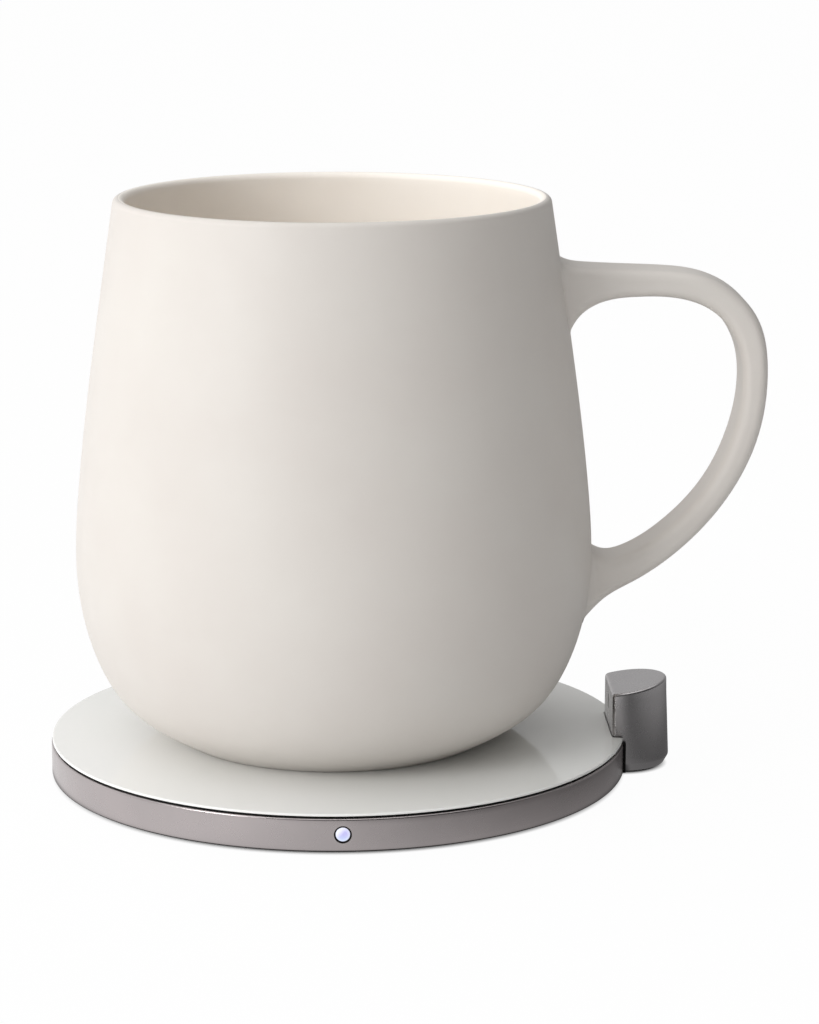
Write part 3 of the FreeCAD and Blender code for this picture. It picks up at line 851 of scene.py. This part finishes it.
def makeRim():
    shape = plateShape
    outside = plateRadius / mm
    bevel = shape["rimBevel"]
    bottom, top = shape["rimBottom"], shape["rimTop"]
    wallInner = outside - shape["rimWall"]
    seat = outside - shape["seatWall"]
    chamfer = shape["seatChamfer"]
    outline = [(wallInner, bottom), (outside - shape["footInset"], bottom)]
    outline += arcPoints((outside - bevel, bottom + bevel), bevel, -90, 0, shape["bevelSteps"])
    outline += [(outside, bottom + shape["sideInset"]), (outside, top - shape["sideInset"])]
    outline += arcPoints((outside - bevel, top - bevel), bevel, 0, 90, shape["bevelSteps"])
    outline += [(seat + chamfer, top), (seat, top - chamfer), (seat, shape["ledgeTop"])]
    outline += [(shape["ledgeInner"], shape["ledgeTop"]), (shape["ledgeInner"], shape["ledgeBottom"])]
    outline += [(wallInner, shape["ledgeBottom"]), (wallInner, bottom)]
    rim = turnedPiece("rimRing", [(r * mm, z * mm) for r, z in outline], shape["segments"])
    cutWith(rim, makeNotch())
    start, end = (place * mm for place in shape["boreSpan"])
    cutWith(rim, rodAlongY("lensBore", shape["lensBore"] * mm, start, end, shape["lensHeight"] * mm))
    mouth = inletShape["mouth"]
    cutWith(rim, inletCutter("inletLanding", inletShape["landing"], mouth, inletShape["landingReach"]))
    deep = mouth - inletShape["depth"]
    cutWith(rim, inletCutter("inletPocket", inletShape["pocket"], deep, inletShape["pocketReach"]))
    return rim


def makeGlass():
    shape = plateShape
    edge = shape["glassRound"]
    radius, top = shape["glassRadius"], shape["glassTop"]
    body, bottom = shape["glassBody"], shape["glassBottom"]
    chamfer, lipChamfer = shape["bodyChamfer"], shape["lipChamfer"]
    lipBottom = top - shape["glassLip"]
    outline = [
        (0, bottom), (body - chamfer, bottom), (body, bottom + chamfer),
        (body, lipBottom - shape["neckHeight"]), (shape["glassNeck"], lipBottom),
        (radius - lipChamfer, lipBottom), (radius, lipBottom + lipChamfer)]
    outline += arcPoints((radius - edge, top - edge), edge, 0, 90, shape["glassSteps"])
    outline += [(radius - inset, top) for inset in shape["topInsets"]]
    outline += [(shape["topMiddle"], top), (0, top)]
    glass = turnedPiece("glassPlate", [(r * mm, z * mm) for r, z in outline], shape["segments"])
    cutWith(glass, makeNotch())
    return glass


rim = makeRim()
smoothShade(rim, 30.0)
glass = makeGlass()
smoothShade(glass, 30.0)
post = makePost()
smoothShade(post, 30.0)

rimLook = {
    "colour": srgb(186, 178, 178), "secondColour": srgb(181, 174, 174), "driftSize": 10 * mm,
    "roughness": (0.25, 0.31), "smudgeSize": 4 * mm, "metallic": 1.0,
    "grainSize": 0.12 * mm, "grainDepth": 0.0015 * mm,
    "speckColour": srgb(194, 186, 186), "speckSize": 0.10 * mm, "speckAmount": 0.12,
    "wearColour": srgb(206, 200, 199), "wearAmount": 0.3,
}
rimAnodised = surfaceMaterial("rimAnodised", rimLook)
postLook = dict(rimLook)
postLook.update({
    "colour": srgb(186, 183, 184), "secondColour": srgb(181, 178, 179), "roughness": (0.25, 0.30),
    "grainDepth": 0.001 * mm, "speckColour": srgb(190, 187, 188)})
postAnodised = surfaceMaterial("postAnodised", postLook)
glassLook = {
    "colour": srgb(240, 240, 238), "secondColour": srgb(237, 238, 235), "driftSize": 30 * mm,
    "roughness": (0.05, 0.085), "smudgeSize": 16 * mm,
    "waveSize": 30 * mm, "waveDepth": 0.01 * mm,
}
plateGlass = surfaceMaterial("plateGlass", glassLook)
finishPiece(rim, "base", "rim_metal", rimAnodised, "rim_housing")
finishPiece(glass, "base", "plate_glass", plateGlass, "glass_top")
finishPiece(post, "base", "post_metal", postAnodised, "post_housing")
print("plate and post modelled")


# Indicator light

lensShape = {
    "radius": 1.15,
    "face": 50.08,
    "back": 49.02,
    "dome": 0.10,
    "edgeRound": 0.2,
    "edgeTurn": 78,
    "edgeSteps": 6,
    "sideInset": 0.3,
    "domeShares": (0.7, 0.5, 0.3, 0.15),
    "sealRadius": 1.44,
    "sealFace": 49.94,
    "sealGap": 0.01,
    "sealRise": 0.14,
    "sealSteps": 8,
    "segments": 96,
}
# place and size of the black strips of painted shade beside the post
gapShadeStripShape = {
    "x": 49.42,
    "y": 8.52,
    "z": 3.25,
    "size": (0.46, 0.80, 5.3),
    "corner": 0.12,
}


def faceForward(piece):
    # a piece turned on the upright axis is laid down to look out of the front, at the light's height
    piece.rotation_euler = (math.radians(90), 0, 0)
    settle(piece)
    piece.location = (0, 0, plateShape["lensHeight"] * mm)
    settle(piece)


def makeLens():
    shape = lensShape
    radius, face, back, dome = shape["radius"], shape["face"], shape["back"], shape["dome"]
    edge = shape["edgeRound"]
    outline = [(0.0, back), (radius, back), (radius, face - shape["sideInset"])]
    centre = (radius - edge, face - dome - edge)
    outline += arcPoints(centre, edge, 0, shape["edgeTurn"], shape["edgeSteps"])
    outline += [(radius * share, face - dome * share ** 2) for share in shape["domeShares"]]
    outline += [(0.0, face)]
    return turnedPiece("lensDome", [(r * mm, z * mm) for r, z in outline], shape["segments"])


def makeSeal():
    shape = lensShape
    inner = shape["radius"] + shape["sealGap"]
    outer = shape["sealRadius"]
    shoulder = shape["sealFace"] - shape["sealRise"]
    outline = [(inner, shape["back"]), (outer, shape["back"]), (outer, shoulder)]
    outline += arcPoints(((inner + outer) / 2, shoulder), (outer - inner) / 2, 0, 180, shape["sealSteps"])
    outline += [(inner, shape["back"])]
    return turnedPiece("lensSealRing", [(r * mm, z * mm) for r, z in outline], shape["segments"])


def makeGapShadeStrips():
    # black strips of painted shade that fill the gap between the post and the ends of the rim, where there
    # is only shadow
    shape = gapShadeStripShape
    size = [length * mm for length in shape["size"]]
    strips = []
    for side in (-1, 1):
        place = (shape["x"] * mm, side * shape["y"] * mm, shape["z"] * mm)
        strips.append(roundedBar("gapShadeStrip", size, place, shape["corner"] * mm, "Z", 4))
    makeActive(strips[0])
    strips[1].select_set(True)
    bpy.ops.object.join()
    strips[0].name = "postGapShadeStrips"
    strips[0].data.name = "postGapShadeStrips"
    return strips[0]


lens = makeLens()
faceForward(lens)
smoothShade(lens, 50.0)
seal = makeSeal()
faceForward(seal)
smoothShade(seal, 50.0)
gapShadeStrips = makeGapShadeStrips()
smoothShade(gapShadeStrips, 30.0)

sealLook = {
    "colour": srgb(12, 11, 11), "secondColour": srgb(18, 17, 16), "driftSize": 3 * mm,
    "roughness": (0.7, 0.85), "grainSize": 0.15 * mm, "grainDepth": 0.01 * mm,
    "sockets": {"Specular IOR Level": 0.25},
}
sealRubber = surfaceMaterial("sealRubber", sealLook)


# milky lens lit from behind: lilac in the middle, bluer below, and a painted highlight, white towards its
# upper left where the lamp's light falls
lensLook = {
    "colour": srgb(104, 106, 128), "secondColour": srgb(92, 96, 122), "driftSize": 0.8 * mm,
    "roughness": (0.16, 0.24), "smudgeSize": 0.6 * mm,
    "waveSize": 0.5 * mm, "waveDepth": 0.01 * mm,
}
lensGlow = {
    "middle": srgb(184, 180, 228),
    "below": srgb(190, 206, 236), "belowSpan": (-0.9 * mm, 0.1 * mm),
    "paintedHighlight": srgb(246, 246, 254), "paintedHighlightSpan": (0.1 * mm, 1.3 * mm),
    "edge": srgb(238, 242, 252), "edgeAmount": 0.6, "edgeSpan": (0.6 * mm, 1.1 * mm),
    "strength": 0.95,
}


def lensMaterial(look, light):
    material = surfaceMaterial("lensGlow", look)
    tree = material.node_tree
    shader = tree.nodes["Principled BSDF"]
    axes = addNode(tree, "ShaderNodeSeparateXYZ")
    tree.links.new(addNode(tree, "ShaderNodeTexCoord").outputs["Object"], axes.inputs[0])
    side = axes.outputs["X"]
    rise = mathNode(tree, "SUBTRACT", axes.outputs["Z"], plateShape["lensHeight"] * mm)
    below = rangeNode(tree, rise, 1.0, 0.0, *light["belowSpan"])
    glow = mixNode(tree, below, light["middle"], light["below"])
    # painted highlight: the glow turns white towards the lens's upper left
    lean = mathNode(tree, "SUBTRACT", rise, side)
    glow = mixNode(tree, rangeNode(tree, lean, 0.0, 1.0, *light["paintedHighlightSpan"]), glow, light["paintedHighlight"])
    squared = mathNode(tree, "ADD", mathNode(tree, "MULTIPLY", rise, rise),
                       mathNode(tree, "MULTIPLY", side, side))
    outwards = mathNode(tree, "SQRT", squared)
    edge = rangeNode(tree, outwards, 0.0, light["edgeAmount"], *light["edgeSpan"])
    glow = mixNode(tree, edge, glow, light["edge"])
    tree.links.new(glow, shader.inputs["Emission Color"])
    shader.inputs["Emission Strength"].default_value = light["strength"]
    return material


lensMilk = lensMaterial(lensLook, lensGlow)
finishPiece(lens, "base", "lens_clear", lensMilk, "indicator_lens")
finishPiece(seal, "base", "black_seal", sealRubber, "lens_seal")
# the gap strips are painted shade, in the black seal finish
finishPiece(gapShadeStrips, "base", "black_seal", sealRubber)
print("indicator light modelled")


# Finishes of the pieces that keep their CAD shape

windowLook = {
    "colour": srgb(16, 14, 16), "secondColour": srgb(24, 18, 22), "driftSize": 2 * mm,
    "roughness": (0.08, 0.16), "smudgeSize": 1 * mm, "waveSize": 1.2 * mm, "waveDepth": 0.01 * mm,
}
coverLook = {
    "colour": srgb(58, 56, 57), "secondColour": srgb(52, 50, 51), "driftSize": 8 * mm,
    "roughness": (0.55, 0.7), "grainSize": 0.25 * mm, "grainDepth": 0.02 * mm,
    "speckColour": srgb(74, 72, 72), "speckSize": 0.2 * mm, "speckAmount": 0.3,
}
footLook = {
    "colour": srgb(92, 89, 90), "secondColour": srgb(84, 82, 83), "driftSize": 14 * mm,
    "roughness": (0.72, 0.86), "smudgeSize": 7 * mm, "grainSize": 0.4 * mm, "grainDepth": 0.02 * mm,
    "speckColour": srgb(120, 117, 117), "speckSize": 0.5 * mm, "speckAmount": 0.25,
    "sockets": {"Sheen Weight": 0.15},
}
screwLook = {
    "colour": srgb(150, 148, 146), "secondColour": srgb(128, 126, 124), "driftSize": 1 * mm,
    "roughness": (0.25, 0.42), "smudgeSize": 0.5 * mm, "metallic": 1.0,
    "grainSize": 0.08 * mm, "grainDepth": 0.005 * mm,
}
inletLook = {
    "colour": srgb(196, 194, 192), "secondColour": srgb(178, 176, 175), "driftSize": 2 * mm,
    "roughness": (0.22, 0.36), "smudgeSize": 1.2 * mm, "metallic": 1.0,
    "stretch": (1.0, 0.1, 1.0), "grainSize": 0.1 * mm, "grainDepth": 0.004 * mm,
}
tongueLook = {
    "colour": srgb(20, 20, 21), "secondColour": srgb(30, 29, 29), "driftSize": 1.5 * mm,
    "roughness": (0.4, 0.55), "grainSize": 0.12 * mm, "grainDepth": 0.006 * mm,
}
carrierLook = {
    "colour": srgb(206, 200, 186), "secondColour": srgb(196, 189, 174), "driftSize": 6 * mm,
    "roughness": (0.5, 0.62), "grainSize": 0.3 * mm, "grainDepth": 0.01 * mm,
}
ferriteLook = {
    "colour": srgb(52, 52, 54), "secondColour": srgb(42, 42, 44), "driftSize": 3 * mm,
    "roughness": (0.45, 0.7), "grainSize": 0.3 * mm, "grainDepth": 0.02 * mm,
    "speckColour": srgb(82, 80, 78), "speckSize": 0.25 * mm, "speckAmount": 0.6,
}
copperLook = {
    "colour": srgb(196, 112, 66), "secondColour": srgb(168, 86, 48), "driftSize": 2.5 * mm,
    "roughness": (0.24, 0.38), "smudgeSize": 1 * mm, "metallic": 1.0,
    "grainSize": 0.2 * mm, "grainDepth": 0.01 * mm, "sockets": {"Coat Weight": 0.5},
}
insulationLook = {
    "colour": srgb(214, 206, 186), "secondColour": srgb(202, 192, 168), "driftSize": 4 * mm,
    "roughness": (0.6, 0.8), "grainSize": 0.3 * mm, "grainDepth": 0.02 * mm,
    "speckColour": srgb(228, 222, 208), "speckSize": 0.4 * mm, "speckAmount": 0.5,
}
beadLook = {
    "colour": srgb(120, 66, 40), "secondColour": srgb(146, 88, 52), "driftSize": 0.6 * mm,
    "roughness": (0.08, 0.2), "smudgeSize": 0.5 * mm,
}
bootLook = {
    "colour": srgb(180, 64, 46), "secondColour": srgb(164, 54, 40), "driftSize": 2 * mm,
    "roughness": (0.6, 0.75), "grainSize": 0.2 * mm, "grainDepth": 0.01 * mm,
}
boardLook = {
    "colour": srgb(24, 92, 58), "secondColour": srgb(18, 78, 50), "driftSize": 5 * mm,
    "roughness": (0.28, 0.42), "smudgeSize": 3 * mm, "grainSize": 0.35 * mm, "grainDepth": 0.008 * mm,
    "speckColour": srgb(52, 128, 84), "speckSize": 0.5 * mm, "speckAmount": 0.6,
}
chipLook = {
    "colour": srgb(30, 30, 32), "secondColour": srgb(38, 37, 39), "driftSize": 1 * mm,
    "roughness": (0.5, 0.68), "grainSize": 0.08 * mm, "grainDepth": 0.008 * mm,
}
capacitorLook = {
    "colour": srgb(178, 150, 108), "secondColour": srgb(160, 132, 92), "driftSize": 1.5 * mm,
    "roughness": (0.35, 0.5), "grainSize": 0.15 * mm, "grainDepth": 0.008 * mm,
}
ledLook = {
    "colour": srgb(236, 232, 214), "secondColour": srgb(226, 220, 196), "driftSize": 0.7 * mm,
    "roughness": (0.3, 0.45), "grainSize": 0.1 * mm, "grainDepth": 0.004 * mm,
}
linkLook = {
    "colour": srgb(196, 118, 40), "secondColour": srgb(176, 100, 32), "driftSize": 2 * mm,
    "roughness": (0.25, 0.4), "grainSize": 0.2 * mm, "grainDepth": 0.005 * mm,
    "speckColour": srgb(214, 148, 76), "speckSize": 0.3 * mm, "speckAmount": 0.4,
}
filmLook = {
    "colour": srgb(172, 170, 166), "secondColour": srgb(156, 153, 150), "driftSize": 3 * mm,
    "roughness": (0.3, 0.46), "metallic": 1.0, "grainSize": 0.2 * mm, "grainDepth": 0.006 * mm,
}
filmCoverLook = {
    "colour": srgb(232, 226, 216), "secondColour": srgb(222, 215, 203), "driftSize": 6 * mm,
    "roughness": (0.3, 0.45), "grainSize": 0.3 * mm, "grainDepth": 0.008 * mm,
    "speckColour": srgb(198, 190, 178), "speckSize": 0.4 * mm, "speckAmount": 0.3,
}
dressNodes(sealRubber, "glass_gasket")
dressNodes(surfaceMaterial("windowDark", windowLook), "sensor_window")
coverPlastic = surfaceMaterial("coverPlastic", coverLook)
dressNodes(coverPlastic, "base_cover", "post_base")
dressNodes(surfaceMaterial("footSilicone", footLook), "foot_pad", "post_foot")
screwSteel = surfaceMaterial("screwSteel", screwLook)
dressNodes(screwSteel, "cover_screw_1", "cover_screw_2", "cover_screw_3", "post_screw_1", "post_screw_2",
           "board_screw_1", "board_screw_2", "board_screw_3")
dressNodes(surfaceMaterial("inletSteel", inletLook), "inlet_shell")
dressNodes(surfaceMaterial("tonguePlastic", tongueLook), "inlet_tongue")
dressNodes(surfaceMaterial("carrierPlastic", carrierLook), "coil_carrier")
dressNodes(surfaceMaterial("ferriteGrey", ferriteLook), "ferrite_disc")
dressNodes(surfaceMaterial("copperWinding", copperLook), "induction_coil")
dressNodes(surfaceMaterial("insulationSheet", insulationLook), "insulation_sheet")
dressNodes(surfaceMaterial("sensorGlass", beadLook), "temperature_sensor")
dressNodes(surfaceMaterial("bootSilicone", bootLook), "sensor_boot")
dressNodes(surfaceMaterial("circuitBoard", boardLook), "main_board", "sensor_board")
dressNodes(surfaceMaterial("chipBlack", chipLook), "controller_chip", "mug_sensor",
           "power_switch_1", "power_switch_2", "filter_inductor")
dressNodes(surfaceMaterial("capacitorCase", capacitorLook),
           "resonant_capacitor_1", "resonant_capacitor_2", "resonant_capacitor_3")
dressNodes(surfaceMaterial("ledPackage", ledLook), "indicator_led")
dressNodes(surfaceMaterial("linkFilm", linkLook), "board_link")
dressNodes(surfaceMaterial("heatingFilm", filmLook), "heating_film")
dressNodes(surfaceMaterial("filmCoverGlaze", filmCoverLook), "film_cover")
print("finishes made")
